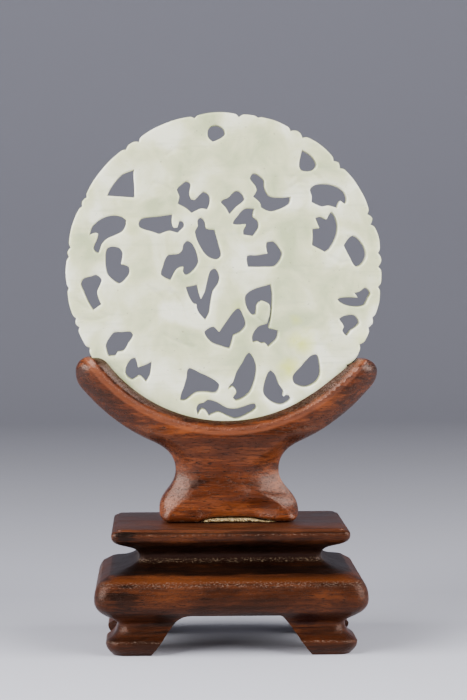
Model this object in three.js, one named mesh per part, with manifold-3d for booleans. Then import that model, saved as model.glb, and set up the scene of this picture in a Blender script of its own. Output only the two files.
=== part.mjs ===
import * as THREE from 'three';
import { mergeVertices } from 'three/addons/utils/BufferGeometryUtils.js';
import Module from 'manifold-3d';

// A pierced jade disc, worn once as a pendant, stands in the groove of a carved hardwood cradle.
// The cradle's foot is glued on a moulded hardwood base with four bracket feet.
// Millimetres, Z up, the front faces -Y. The origin is on the ground under the disc's centre.

const wasm = await Module();
wasm.setup();

// Jade disc
const DISC_RADIUS = 27.95;
const DISC_THICKNESS = 4.4;
const RIM_WALL = 1.67; // jade between the outermost opening and the rim
const NOTCH_SPREAD = 1.3; // degrees over which the rim falls away into a notch
const RIM_STEP = 5; // degrees between points on a long lobe of the rim

// Cradle
const SADDLE_HEIGHT = 15.9; // sole of the foot to the floor of the groove
const SEAT_GAP = 0.3; // clearance of the disc in its groove, all round
const LIP_COVER = 1.5; // how far the two lips of the groove reach over the disc's rim
const HORN_WALL = 4.85; // wood under the disc's rim, measured outwards
const HORN_DROP = 15.1; // disc's centre down to the top of the horns
const HORN_TIP = 4.9; // flat top of a horn, from the lip outwards
const HORN_ROUND = 2.4; // rounding of the horns' outer corners
const HORN_TURN = 48; // degrees from straight down where the underside turns up to the horn's tip
const CRADLE_THICKNESS = 8.6;
const NECK_WIDTH = 18.2;
const NECK_THICKNESS = 7.4;
const NECK_HEIGHT = 8.95;
const NECK_FLARE = 24; // degrees from straight down where the horns' underside turns into the neck
const FOOT_WIDTH = 24.5;
const FOOT_THICKNESS = 9.6;
const FOOT_HEIGHT = 1.9; // sole up to the foot's widest line, rounded all the way
const CRADLE_LEAN = 0.25; // sideways drift of the foot against the horns
const CRADLE_SHIFT = 0.3; // sideways place of the horns against the disc
const EDGE_ROUND = 1.5; // rounding of the cradle's outline into its front and back
const ROUND_SHARE = 0.55; // share of the half thickness that the rounding takes

// Glue that fills the shallow hollow under the foot
const HOLLOW_SPAN = 14;
const HOLLOW_RISE = 0.95;
const HOLLOW_SHIFT = 1.5; // sideways from the middle of the foot
const GLUE_GAP = 0.15; // glue to the wood above it
const GLUE_LINE = 0.1; // thin film between the foot and the base

// Base, widths from left to right at its edges and hollows, and their heights
const BASE_HEIGHT = 21.5;
const BASE_LONGER = 12.6; // how much wider than deep the base is, at every height
const BASE_SHIFT = 0.5;
const CORNER_RADIUS = 1.1;
const LOWER_CORNER_RADIUS = 2.4; // corners below the waist, worn rounder
const TOP_WIDTH = 39.4;
const BEAD_WIDTH = 41.2;
const BEAD_HEIGHT = 20.3;
const BEAD_RADIUS = 0.95;
const QUIRK = 0.25; // small step between the bead and the top
const WAIST_WIDTH = 31.7;
const WAIST_HEIGHT = 16.5;
const SHOULDER_WIDTH = 41.6;
const SHOULDER_HEIGHT = 13.8;
const ARRIS_WIDTH = 45.1;
const ARRIS_HEIGHT = 12.85;
const BELLY_WIDTH = 47.1;
const BELLY_HEIGHT = 9.6;
const ANKLE_WIDTH = 39.3;
const ANKLE_HEIGHT = 5.2;
const TOE_WIDTH = 43.3;
const TOE_HEIGHT = 2.35;
const SOLE_WIDTH = 41;

// How far the handles of the base's curves reach
const WAIST_COVE = 2.2; // coves over and under the waist
const SHOULDER_SLOPE = 0.35; // rise of the shoulder as it leaves its outer edge
const BELLY_ROUND = 1; // upper half of the belly
const BELLY_SWELL = 2.7; // lower half
const ANKLE_COVE = 1;
const TOE_CURL = 1.1;

// Arches between the feet
const APRON_HEIGHT = 6.95;
const SOLE_LENGTH = 6.7; // each foot's sole, along the base and across it
const LEG_SPLAY = 5.2; // how much further in a leg reaches under the apron than at its sole

// Where the rim is notched: degrees anticlockwise from the right, and depth
const NOTCHES = [
  [-29, 0.77], [-22, 0.59], [-18, 0.53], [-6.5, 0.66], [1, 0.77], [6, 0.63], [17, 0.91], [21, 0.83],
  [41, 0.73], [44.5, 0.63], [59, 0.8], [64, 0.73], [77, 0.33], [84, 0.8], [100.5, 0.63], [123, 0.8],
  [128.5, 0.53], [151.5, 0.53], [155.3, 0.53], [171, 0.63], [174.5, 0.53], [186, 0.43], [197.5, 0.59],
  [201, 0.59], [209.5, 0.73], [221, 0.63], [225, 0.63], [238, 0.73], [243, 0.63], [262, 0.73],
  [267, 0.63], [284, 0.73], [289, 0.63], [305, 0.73], [309, 0.63], [322, 0.63],
];

// The openings sawn through the disc, drawn from its centre and scaled to leave RIM_WALL.
// A line runs smoothly through the points of each one, and a 1 marks a sharp corner.
const OPENINGS = {
  hangingHole: [
    [-2.75, 24.3], [-2.4, 25.4], [-1.2, 25.85], [0.1, 25.2], [0.35, 24.2], [-0.6, 23.4],
    [-1.8, 22.9, 1], [-2.5, 23.5],
  ],
  upperLeftMoon: [
    [-15.8, 18.05, 1], [-18, 17.2], [-19.95, 15], [-20.75, 13.45, 1], [-15.8, 13.1, 1],
    [-15.85, 15.6], [-15.95, 17.2],
  ],
  upperPaw: [
    [-7.5, 15.3], [-6.6, 15.9], [-5.8, 15.4], [-6.05, 13.9], [-5.7, 12.75], [-5, 12.7],
    [-3.65, 14.05], [-2.5, 13.3], [-2.5, 11.8], [-2.9, 10.9, 1], [-4, 11.05], [-5.7, 10.25, 1],
    [-6.6, 11.1], [-8.15, 11.95, 1], [-7.85, 13.3], [-8.3, 14.5],
  ],
  leftCurlBlock: [
    [-15.1, 8.6], [-14.5, 9.35], [-12, 9.65], [-9.1, 10.05, 1], [-9.2, 8.8], [-8.9, 7.75],
    [-8.2, 7.75], [-7.9, 8.8], [-7.2, 8.7], [-7.05, 7.9], [-7.75, 7.2], [-8.2, 6.8],
    [-9.6, 7.15], [-11.4, 6.6, 1], [-13, 7.1], [-14.9, 7.8],
  ],
  slantedLeaf: [
    [-4.65, 8.9], [-4, 9.45], [-3.3, 8.6], [-3.1, 7.5], [-1.6, 7.25, 1], [-0.75, 4.2],
    [-0.5, 2.7], [-1.2, 2], [-2.8, 2.5], [-4.1, 4.1], [-5.1, 6.9], [-4.6, 7.9],
  ],
  middleFish: [
    [-7.2, 4.6], [-6.5, 5.3], [-5.5, 4.7], [-4.6, 2.3], [-4.65, 1.2], [-6, -0.4], [-6.9, -0.7],
    [-7.3, 0], [-7.2, 0.75], [-8.4, 0.3], [-9.5, -1.65, 1], [-11.2, -0.7], [-10.9, 0.7],
    [-10, 2.75], [-8.2, 3], [-7.4, 3.7],
  ],
  smallArrow: [
    [-0.5, 12.25], [0.9, 13], [2, 14.05], [2.9, 14], [3.8, 12.6], [2.5, 11.5], [1.05, 10, 1],
    [0.3, 11.3],
  ],
  boomerang: [
    [1.6, 8.3], [2.5, 9.7], [3.8, 10.95], [5.5, 10.9, 1], [5.25, 9.6], [6.1, 8.8], [6.2, 7.6],
    [5.2, 6.1, 1], [3.5, 6.35, 1], [3.5, 7.2], [4, 8.2], [2.9, 8.15],
  ],
  tallBoot: [
    [4.75, 16.3], [5.4, 17.25], [6.6, 16.7], [7.3, 15.9], [7.35, 14.7], [8.4, 13.1], [12, 13, 1],
    [11.5, 11.6, 1], [8.6, 10.45, 1], [6.8, 11.1, 1], [6.4, 12.1], [5.25, 13.1, 1], [5.9, 14.2],
    [5.6, 15.1],
  ],
  hookedBar: [
    [4.1, 2.6], [5.5, 2.65], [7.75, 2.95, 1], [7.5, 4.2], [7.6, 4.95, 1], [8.9, 5.05], [10, 3.8],
    [10.4, 2.8], [9.2, 0.8], [7.4, 0.6], [4.25, 0.6, 1],
  ],
  upperRightMoon: [
    [14.05, 21.35, 1], [15.6, 20.4], [16.6, 18.8], [15.9, 17.7], [14, 17.65], [13.5, 18.4],
    [13.7, 20],
  ],
  rightBun: [
    [15.4, 14.3], [16.4, 15.1], [18.3, 15.25], [20.3, 14.75], [21.6, 13.7], [21.95, 12.3],
    [21.5, 11.65], [20.8, 12.25], [20.2, 10.95, 1], [18.6, 11.4], [17.4, 11.25],
    [15.65, 12.05, 1], [15.7, 13.1],
  ],
  rightTulip: [
    [16.3, 9.2, 1], [17.3, 9.4], [18.3, 8.9, 1], [19.2, 10.35], [20.25, 8.3], [20.1, 6.1],
    [18.9, 3.8], [18, 3.15, 1], [15.65, 4.4, 1], [15.8, 5.8], [15.75, 7.25, 1], [17, 7.4, 1],
  ],
  rightOval: [
    [21.3, 4.3, 1], [22.3, 5.7], [23.2, 6], [24.7, 4.6], [25.35, 2.6], [24.6, 1], [23.4, 0.5],
    [22.6, 1.7],
  ],
  leftSwallow: [
    [-23.9, 6.5, 1], [-23.4, 8], [-21.7, 9.4], [-19.3, 9.95], [-17.3, 9.1], [-18.05, 7.1],
    [-20.6, 5.9], [-21.7, 4.8], [-22.3, 3.25], [-23.2, 4.1], [-22.7, 5.5], [-22.4, 6.8],
    [-23.2, 6.8],
  ],
  leftBoot: [
    [-20.8, 4], [-19.9, 4.4], [-18.5, 4.1], [-18, 3.2], [-18.3, 1.25, 1], [-17, 0.85],
    [-16.8, -0.2], [-17.4, -1.2], [-18.6, -2.15], [-19.9, -1.4], [-20.8, -0.3], [-21.1, 2.4],
  ],
  leftKidney: [
    [-25.5, -2.2], [-25, -1.25], [-23.6, -0.85], [-22.7, -0.6], [-21.75, -1.5], [-22.5, -3.4],
    [-22.45, -4.3], [-21.85, -5.85, 1], [-23.3, -6.85, 1], [-24.1, -5.6], [-25.1, -3.3],
  ],
  lowerLeftLeaf: [
    [-19.6, -10.85], [-18.2, -10.8], [-16.7, -10.75], [-16.25, -11.4], [-17.1, -12.8],
    [-17.9, -14.1], [-19, -14.3, 1], [-19.4, -15, 1], [-20.7, -15.05, 1], [-21.15, -13.2],
    [-20.4, -11.7],
  ],
  forkedBranch: [
    [-6.8, -2.9, 1], [-4.8, -2.5, 1], [-4.5, -3.9], [-4.15, -5.05, 1], [-3.5, -3.8], [-2.8, -1],
    [-2.3, 0.1], [-1.5, 0.3], [-0.8, -1.1], [-1.1, -2.4], [-1.95, -3.6], [-2.45, -6],
    [-2.7, -7.5], [-3.4, -8.75, 1], [-4.5, -7.5], [-4.9, -6.5], [-4.9, -5.95, 1], [-5.5, -5.8],
    [-6.4, -4.2],
  ],
  tickMark: [
    [-3.55, -11], [-3, -10.35], [-1.9, -10], [-0.95, -10.95, 1], [0.6, -8.7], [2, -7],
    [2.7, -6.8], [3.4, -8.1], [3.8, -9.7], [2.9, -10.9], [1.6, -11.55, 1], [1.3, -12.8],
    [0.9, -13.9, 1], [-0.8, -13.4], [-2.4, -12.7],
  ],
  hookWithSlit: [
    [3.75, -4.5], [5.2, -3.4], [7, -2.85], [8.3, -2.5, 1], [8.6, -4.2], [8.45, -7], [8.15, -9.1],
    [7.85, -10.3, 1], [9.6, -10.75, 1], [9.3, -12.2], [7.75, -13.6, 1], [7.2, -12.9, 1],
    [6.5, -13], [5.9, -12.65], [5, -12.85, 1], [4.9, -11.7], [5.9, -10.1], [7.5, -9.5, 1],
    [7.95, -8.3], [8.15, -6.9], [8, -6.05, 1], [6.7, -5.45], [5.8, -6.2], [5.6, -7.8],
    [4.9, -7.85], [3.95, -6.5],
  ],
  rightBoat: [
    [20.1, -5.3], [21, -4.95], [23.75, -5, 1], [23.15, -4.15, 1], [24.1, -3.9], [25.1, -3.2],
    [26.05, -4.2], [25.6, -5.1], [24.9, -6.35], [23, -6.6], [21.3, -6.2],
  ],
  rightFin: [
    [20.4, -8.7], [22.1, -8.05], [23.3, -8.25], [24.05, -9.6], [22.5, -10.85], [21.7, -11.8],
    [20.95, -10.8], [21.2, -10.2], [20.9, -9.5],
  ],
  lowerRightLeaf: [
    [16.4, -15.05], [16.9, -16.5], [17, -18.6], [16.2, -20], [14.2, -20.85], [12.3, -20.1],
    [12.1, -18.8], [13.4, -17.3], [15.2, -15.35],
  ],
  lowerBow: [
    [-17.7, -17.9], [-17.1, -16.1], [-15.95, -15.35], [-15.4, -17.1, 1], [-14, -16.6],
    [-13, -16.1, 1], [-13.3, -18.4], [-14, -19.7, 1], [-14.7, -18.9], [-15.3, -18.6],
    [-16.4, -19.3], [-17.4, -18.65],
  ],
  lowerSail: [
    [-6.65, -17.7], [-6.2, -17.3], [-4.5, -18.1], [-2.4, -19.1], [-1, -20.3], [-1.5, -21.75],
    [-3.2, -21.65], [-5.2, -21.75], [-6.9, -22.95], [-8, -22.95], [-7.3, -20.6], [-6.8, -18.8],
  ],
  curledLeaf: [
    [4.3, -14.6], [5.3, -15.9], [5.65, -17.6], [5.1, -20.3], [4.2, -22], [2.1, -23.15],
    [1.4, -22.6], [1.9, -21.9], [1.95, -21.3], [1.3, -20.65], [0.6, -21.1], [0.75, -20.55],
    [1.4, -19.9], [2, -18.2], [3.1, -16.4],
  ],
  lowerDrop: [
    [8.2, -17.8, 1], [9, -18.6], [9.7, -20.4], [10.45, -21.5], [10.3, -22.5, 1], [11.1, -22.15],
    [11.7, -22.9], [10.8, -23.7], [9.8, -23.95], [8, -23.25], [6.8, -21.7], [7.1, -19.7],
    [7.7, -18.15],
  ],
  lowestCrescent: [
    [-5.1, -24.4], [-4.6, -23.65], [-3.8, -23.45], [-3, -22.95], [-1.2, -23.5], [0.4, -24.4],
    [2.2, -24.5], [4.1, -23.9], [5.3, -23.7], [5.5, -24.5], [4, -25.6], [2, -26.4],
    [0.3, -25.85], [-1.2, -25.2], [-2.9, -25.85, 1], [-3.5, -24.85], [-4.2, -24.6],
    [-4.85, -25.65, 1],
  ],
};

// Scale of the carving, and heights that follow from the sizes above
const DRAWN_REACH = Math.max(...Object.values(OPENINGS).flat().map(([x, y]) => Math.hypot(x, y)));
const CARVING_SCALE = (DISC_RADIUS - RIM_WALL) / DRAWN_REACH;
const CRADLE_SOLE_Z = BASE_HEIGHT + GLUE_LINE;
const DISC_CENTRE_Z = CRADLE_SOLE_Z + SADDLE_HEIGHT + SEAT_GAP + DISC_RADIUS;
const SOLE_DROP = DISC_CENTRE_Z - CRADLE_SOLE_Z;

// Materials
const jade = new THREE.MeshStandardMaterial({ color: 0xd6d9c6, roughness: 0.32, metalness: 0 });
const orangeWood = new THREE.MeshStandardMaterial({ color: 0x7a3a1c, roughness: 0.34, metalness: 0 });
const darkWood = new THREE.MeshStandardMaterial({ color: 0x4c2417, roughness: 0.34, metalness: 0 });
const dryGlue = new THREE.MeshStandardMaterial({ color: 0xc9a45c, roughness: 0.7, metalness: 0 });

function named(name, geometry, material) {
  const mesh = new THREE.Mesh(geometry, material);
  mesh.name = name;
  return mesh;
}

function toSolid(geometry) {
  const bare = geometry.clone();
  bare.deleteAttribute('normal');
  bare.deleteAttribute('uv');
  const merged = mergeVertices(bare, 1e-4);
  return new wasm.Manifold(new wasm.Mesh({
    numProp: 3,
    vertProperties: new Float32Array(merged.attributes.position.array),
    triVerts: new Uint32Array(merged.index.array),
  }));
}

function toGeometry(solid) {
  const mesh = solid.getMesh();
  const geometry = new THREE.BufferGeometry();
  geometry.setAttribute('position', new THREE.BufferAttribute(mesh.vertProperties, 3));
  geometry.setIndex(new THREE.BufferAttribute(mesh.triVerts, 1));
  geometry.computeVertexNormals();
  return geometry;
}

// Extrudes a shape drawn in X and Z along Y, with the middle of its thickness at Y = 0
function standingSlab(shape, thickness, bevel = {}) {
  const geometry = new THREE.ExtrudeGeometry(shape, { depth: thickness, bevelEnabled: false, ...bevel });
  geometry.translate(0, 0, -thickness / 2);
  geometry.rotateX(Math.PI / 2);
  return geometry;
}

// Splits a closed line at its sharp corners and runs one smooth curve through each stretch
function smoothLoop(points, scale, stepsPerSpan) {
  const count = points.length;
  const firstCorner = points.findIndex((point) => point[2] === 1);
  const start = Math.max(firstCorner, 0);
  const ring = points.map((_, i) => points[(start + i) % count]);
  const at = ([x, y]) => new THREE.Vector3(x * scale, y * scale, 0);
  if (firstCorner < 0) {
    const curve = new THREE.CatmullRomCurve3(ring.map(at), true);
    return curve.getPoints(count * stepsPerSpan).slice(0, -1).map((p) => new THREE.Vector2(p.x, p.y));
  }
  const line = [];
  let stretch = [ring[0]];
  for (const point of [...ring.slice(1), ring[0]]) {
    stretch.push(point);
    if (point[2] === 1) {
      const steps = stretch.length === 2 ? 1 : (stretch.length - 1) * stepsPerSpan;
      const curve = new THREE.CatmullRomCurve3(stretch.map(at));
      line.push(...curve.getPoints(steps).slice(0, -1).map((p) => new THREE.Vector2(p.x, p.y)));
      stretch = [point];
    }
  }
  return line;
}

// The rim's radius falls away to the nearest notch, steeply near it and hardly at all further off
function rimRadius(degrees) {
  const falls = NOTCHES.map(([angle, depth]) => {
    const away = Math.abs(((degrees - angle + 540) % 360) - 180);
    return depth * CARVING_SCALE * Math.exp(-away / NOTCH_SPREAD);
  });
  return DISC_RADIUS - Math.max(...falls);
}

// Points on the rim stand close together at each notch and further apart along the lobes
function rimAngles() {
  const angles = [];
  NOTCHES.forEach(([angle], i) => {
    const next = i + 1 < NOTCHES.length ? NOTCHES[i + 1][0] : NOTCHES[0][0] + 360;
    const shoulder = Math.min(1.4 * NOTCH_SPREAD, 0.4 * (next - angle));
    const lobe = next - angle - 2 * shoulder;
    const steps = Math.ceil(lobe / RIM_STEP);
    angles.push(angle, angle + shoulder / 3);
    for (let k = 0; k <= steps; k += 1) angles.push(angle + shoulder + lobe * k / steps);
    angles.push(next - shoulder / 3);
  });
  return angles;
}

function jadeDisc() {
  const rim = rimAngles().map((degrees) => {
    const angle = THREE.MathUtils.degToRad(degrees);
    const radius = rimRadius(degrees);
    return new THREE.Vector2(radius * Math.cos(angle), radius * Math.sin(angle));
  });
  const shape = new THREE.Shape(rim);
  for (const points of Object.values(OPENINGS)) {
    shape.holes.push(new THREE.Path(smoothLoop(points, CARVING_SCALE, 2)));
  }
  const mesh = named('jade_disc', standingSlab(shape, DISC_THICKNESS), jade);
  mesh.position.z = DISC_CENTRE_Z;
  return mesh;
}

// Curves that meet end to end give their common point twice
function withoutRepeats(points) {
  return points.filter((point, i) => i === 0 || point.distanceTo(points[i - 1]) > 1e-6);
}

function arc(centreX, centreY, radius, fromDegrees, toDegrees, steps) {
  const points = [];
  for (let i = 0; i <= steps; i += 1) {
    const angle = THREE.MathUtils.degToRad(fromDegrees + (toDegrees - fromDegrees) * i / steps);
    points.push(new THREE.Vector2(centreX + radius * Math.cos(angle), centreY + radius * Math.sin(angle)));
  }
  return points;
}

function bend(corners, steps) {
  const [start, leave, arrive, end] = corners.map(([x, y]) => new THREE.Vector2(x, y));
  return new THREE.CubicBezierCurve(start, leave, arrive, end).getPoints(steps);
}

// Right half of the cradle's outline, from the sole up over the horn and down the lip, about the
// disc's centre: the underside follows the disc's circle between the neck's flare and the tip
function cradleHalf() {
  const lip = DISC_RADIUS - LIP_COVER;
  const under = DISC_RADIUS + HORN_WALL;
  const onUnder = (degrees) => {
    const angle = THREE.MathUtils.degToRad(degrees);
    return [under * Math.sin(angle), -under * Math.cos(angle), Math.cos(angle), Math.sin(angle)];
  };
  const [flareX, flareY, flareAlongX, flareAlongY] = onUnder(NECK_FLARE);
  const [turnX, turnY, turnAlongX, turnAlongY] = onUnder(HORN_TURN);
  const neckX = NECK_WIDTH / 2;
  const neckY = NECK_HEIGHT - SOLE_DROP;
  const footX = FOOT_WIDTH / 2;
  const footY = FOOT_HEIGHT - SOLE_DROP;
  const hornY = -HORN_DROP - HORN_ROUND;
  const swell = (neckY - footY) * 0.45;
  const flare = (flareX - neckX) * 0.6;
  const turn = (hornY - turnY) * 0.5;
  const tipX = Math.sqrt(lip * lip - HORN_DROP * HORN_DROP);
  const hornX = tipX + HORN_TIP;
  const tipDegrees = THREE.MathUtils.radToDeg(Math.atan2(-HORN_DROP, tipX));
  return withoutRepeats([
    ...arc(footX - FOOT_HEIGHT, footY, FOOT_HEIGHT, -90, 0, 4),
    ...bend([[footX, footY], [footX, footY + swell], [neckX, neckY - swell], [neckX, neckY]], 7),
    ...bend([
      [neckX, neckY], [neckX, neckY + (flareY - neckY) * 0.55],
      [flareX - flare * flareAlongX, flareY - flare * flareAlongY], [flareX, flareY],
    ], 7),
    ...arc(0, 0, under, NECK_FLARE - 90, HORN_TURN - 90, 6),
    ...bend([
      [turnX, turnY], [turnX + turn * turnAlongX, turnY + turn * turnAlongY],
      [hornX, hornY - turn], [hornX, hornY],
    ], 5),
    ...arc(hornX - HORN_ROUND, hornY, HORN_ROUND, 0, 90, 5),
    ...arc(0, 0, lip, tipDegrees, -90, 16),
  ]);
}

// Height of the hollow under the foot, a parabola, at x from the middle of the foot
function hollowHeight(x, half, rise) {
  const share = (x - HOLLOW_SHIFT) / half;
  return rise * (1 - share * share);
}

function hollowLine(half, rise, steps = 8) {
  const line = [];
  for (let i = 0; i <= steps; i += 1) {
    const x = HOLLOW_SHIFT + half * (1 - 2 * i / steps);
    line.push(new THREE.Vector2(x, hollowHeight(x, half, rise)));
  }
  return line;
}

// Eased step from 0 to 1 as value goes from one end to the other
function eased(value, from, to) {
  return THREE.MathUtils.smoothstep(value, Math.min(from, to), Math.max(from, to));
}

// Half the thickness of the cradle at a height above its sole: broad foot, thin neck, thick horns
function cradleHalfThickness(height) {
  const low = THREE.MathUtils.lerp(FOOT_THICKNESS, NECK_THICKNESS, eased(height, FOOT_HEIGHT, NECK_HEIGHT));
  return THREE.MathUtils.lerp(low, CRADLE_THICKNESS, eased(height, NECK_HEIGHT, SADDLE_HEIGHT)) / 2;
}

function cradle() {
  const right = cradleHalf();
  const left = right.slice(0, -1).reverse().map((p) => new THREE.Vector2(-p.x, p.y));
  const hollow = hollowLine(HOLLOW_SPAN / 2, HOLLOW_RISE).reverse();
  const sole = hollow.map((p) => new THREE.Vector2(p.x, p.y - SOLE_DROP));
  const shape = new THREE.Shape([...right, ...left, ...sole]);
  const geometry = standingSlab(shape, 2 * (1 - ROUND_SHARE), {
    bevelEnabled: true,
    bevelThickness: ROUND_SHARE,
    bevelSize: EDGE_ROUND,
    bevelOffset: -EDGE_ROUND,
    bevelSegments: 4,
  });

  // The slab is made two thick, so each point's Y is its share of the half thickness there
  const position = geometry.attributes.position;
  for (let i = 0; i < position.count; i += 1) {
    const height = position.getZ(i) + SOLE_DROP;
    const lean = CRADLE_LEAN * (1 - eased(height, 0, NECK_HEIGHT));
    position.setX(i, position.getX(i) + CRADLE_SHIFT + lean);
    position.setY(i, position.getY(i) * cradleHalfThickness(height));
  }

  const seat = new THREE.CylinderGeometry(
    DISC_RADIUS + SEAT_GAP, DISC_RADIUS + SEAT_GAP, DISC_THICKNESS + 2 * SEAT_GAP, 120,
  );
  const grooved = toSolid(geometry).subtract(toSolid(seat));
  const mesh = named('cradle', toGeometry(grooved), orangeWood);
  mesh.position.z = DISC_CENTRE_Z;
  return mesh;
}

// The glue lies in the hollow under the foot and shows at its front and back
function glueBead() {
  const half = HOLLOW_SPAN / 2 - 3 * GLUE_GAP;
  const shape = new THREE.Shape(hollowLine(half, HOLLOW_RISE - GLUE_GAP));
  const mesh = named('glue_bead', standingSlab(shape, FOOT_THICKNESS - 4 * GLUE_GAP), dryGlue);
  mesh.position.set(CRADLE_SHIFT + CRADLE_LEAN, 0, BASE_HEIGHT + GLUE_LINE / 2);
  return mesh;
}

// Moulding of the base from the sole up to the edge of the top: half width and height
function baseProfile() {
  const path = new THREE.Path();
  path.moveTo(SOLE_WIDTH / 2, 0);
  path.quadraticCurveTo(TOE_WIDTH / 2, TOE_HEIGHT * 0.45, TOE_WIDTH / 2, TOE_HEIGHT);
  path.quadraticCurveTo(ANKLE_WIDTH / 2, TOE_HEIGHT + TOE_CURL, ANKLE_WIDTH / 2, ANKLE_HEIGHT);
  path.bezierCurveTo(
    ANKLE_WIDTH / 2, ANKLE_HEIGHT + ANKLE_COVE, BELLY_WIDTH / 2, BELLY_HEIGHT - BELLY_SWELL,
    BELLY_WIDTH / 2, BELLY_HEIGHT,
  );
  path.quadraticCurveTo(BELLY_WIDTH / 2, ARRIS_HEIGHT - BELLY_ROUND, ARRIS_WIDTH / 2, ARRIS_HEIGHT);
  path.lineTo(SHOULDER_WIDTH / 2, SHOULDER_HEIGHT);
  path.bezierCurveTo(
    SHOULDER_WIDTH / 2 - WAIST_COVE, SHOULDER_HEIGHT + SHOULDER_SLOPE,
    WAIST_WIDTH / 2, WAIST_HEIGHT - WAIST_COVE, WAIST_WIDTH / 2, WAIST_HEIGHT,
  );
  path.bezierCurveTo(
    WAIST_WIDTH / 2, WAIST_HEIGHT + WAIST_COVE, BEAD_WIDTH / 2, BEAD_HEIGHT - WAIST_COVE,
    BEAD_WIDTH / 2, BEAD_HEIGHT,
  );
  path.quadraticCurveTo(
    BEAD_WIDTH / 2, BEAD_HEIGHT + BEAD_RADIUS, TOP_WIDTH / 2 + QUIRK, BEAD_HEIGHT + BEAD_RADIUS,
  );
  path.lineTo(TOP_WIDTH / 2, BASE_HEIGHT);
  return withoutRepeats(path.getPoints(5));
}

// One level of the base: a rectangle with rounded corners, anticlockwise seen from above
function baseRing(halfWidth, height, cornerSteps = 3) {
  const halfDepth = halfWidth - BASE_LONGER / 2;
  const radius = height < WAIST_HEIGHT ? LOWER_CORNER_RADIUS : CORNER_RADIUS;
  const ring = [];
  for (let corner = 0; corner < 4; corner += 1) {
    const signX = corner === 0 || corner === 3 ? 1 : -1;
    const signY = corner < 2 ? 1 : -1;
    for (let k = 0; k <= cornerSteps; k += 1) {
      const angle = (corner + k / cornerSteps) * Math.PI / 2;
      ring.push([
        signX * (halfWidth - radius) + radius * Math.cos(angle),
        signY * (halfDepth - radius) + radius * Math.sin(angle),
        height,
      ]);
    }
  }
  return ring;
}

function mouldedBlock() {
  const rings = baseProfile().map((point) => baseRing(point.x, point.y));
  const size = rings[0].length;
  const vertices = rings.flat(2);
  const bottom = rings.length * size;
  const top = bottom + 1;
  vertices.push(0, 0, 0, 0, 0, BASE_HEIGHT);
  const triangles = [];
  for (let k = 0; k < size; k += 1) {
    const next = (k + 1) % size;
    for (let row = 0; row + 1 < rings.length; row += 1) {
      const low = row * size;
      const high = low + size;
      triangles.push(low + k, low + next, high + next, low + k, high + next, high + k);
    }
    triangles.push(bottom, next, k, top, bottom - size + k, bottom - size + next);
  }
  const geometry = new THREE.BufferGeometry();
  geometry.setAttribute('position', new THREE.Float32BufferAttribute(vertices, 3));
  geometry.setIndex(triangles);
  return geometry;
}

// The space under the apron between two feet, a trapezium that runs right through the base
function archCutter(halfSoles, through) {
  const low = halfSoles - SOLE_LENGTH;
  const high = low - LEG_SPLAY;
  const slope = LEG_SPLAY / APRON_HEIGHT;
  const below = 1;
  return standingSlab(new THREE.Shape([
    new THREE.Vector2(-low - slope * below, -below),
    new THREE.Vector2(low + slope * below, -below),
    new THREE.Vector2(high, APRON_HEIGHT),
    new THREE.Vector2(-high, APRON_HEIGHT),
  ]), through);
}

function base() {
  const alongX = archCutter(SOLE_WIDTH / 2, BELLY_WIDTH);
  const alongY = archCutter((SOLE_WIDTH - BASE_LONGER) / 2, BELLY_WIDTH + BASE_LONGER);
  alongY.rotateZ(Math.PI / 2);
  const solid = toSolid(mouldedBlock()).subtract(toSolid(alongX)).subtract(toSolid(alongY));
  return named('base', toGeometry(solid), darkWood);
}

const stand = new THREE.Group();
const moulded = base();
moulded.position.x = BASE_SHIFT;
stand.add(moulded, glueBead(), cradle());

const group = new THREE.Group();
group.add(stand, jadeDisc());

export default group;
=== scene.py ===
import math

import bpy
import numpy as np
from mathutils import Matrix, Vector
from mathutils.geometry import delaunay_2d_cdt


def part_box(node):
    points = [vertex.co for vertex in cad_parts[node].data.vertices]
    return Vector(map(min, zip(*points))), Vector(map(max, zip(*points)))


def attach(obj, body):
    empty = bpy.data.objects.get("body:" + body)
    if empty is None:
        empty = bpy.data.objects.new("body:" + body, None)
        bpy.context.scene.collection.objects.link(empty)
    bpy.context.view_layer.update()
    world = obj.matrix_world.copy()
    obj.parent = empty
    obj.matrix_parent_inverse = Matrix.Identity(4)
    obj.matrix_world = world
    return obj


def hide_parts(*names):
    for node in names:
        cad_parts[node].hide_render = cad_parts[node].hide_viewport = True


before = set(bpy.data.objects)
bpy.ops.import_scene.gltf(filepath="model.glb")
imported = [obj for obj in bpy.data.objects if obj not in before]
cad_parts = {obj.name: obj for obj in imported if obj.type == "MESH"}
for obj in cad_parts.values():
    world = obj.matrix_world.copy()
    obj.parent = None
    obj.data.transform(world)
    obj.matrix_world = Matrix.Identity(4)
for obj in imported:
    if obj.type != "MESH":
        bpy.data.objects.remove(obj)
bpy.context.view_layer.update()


# The base is one block of dark hardwood, worked with planes and scrapers to a bead, a deep
# waist, a sloping shoulder and a bellied apron, and sawn through underneath so that it stands
# on four bracket feet. It is stained and varnished and dusty along some edges. The front of its
# shoulder is rubbed lighter and painted lighter still, and shade is painted dark into its hollows,
# creases and corners.
MM = 0.001
base_low, base_high = (np.array(corner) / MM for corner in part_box("base"))
base_middle = (base_low + base_high) / 2
base_longer = (base_high - base_low)[0] - (base_high - base_low)[1]
apron_height, apron_corner = 6.95, 2.4
corner_loss, corner_loss_from, corner_loss_over = 1.3, 14.2, 2.3
sole_half, sole_length, leg_splay = 20.5, 6.7, 5.2
saw_reach, below_ground = 40, -1
tooling_length, tooling_depth, inset = 19, 0.06, 0.05
bead_top, tooling_fades_over = 21, 3


def bezier(start, leave, arrive, end, steps=8):
    """A cubic Bezier curve without its last point, its corners weighted by powers of t and 1 - t."""
    t = np.linspace(0, 1, steps, endpoint=False)[:, None]
    corners = [np.array(corner, float) for corner in (start, leave, arrive, end)]
    weights = [(1 - t) ** 3, 3 * (1 - t) ** 2 * t, 3 * (1 - t) * t ** 2, t ** 3]
    return sum(weight * corner for weight, corner in zip(weights, corners))


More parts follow.
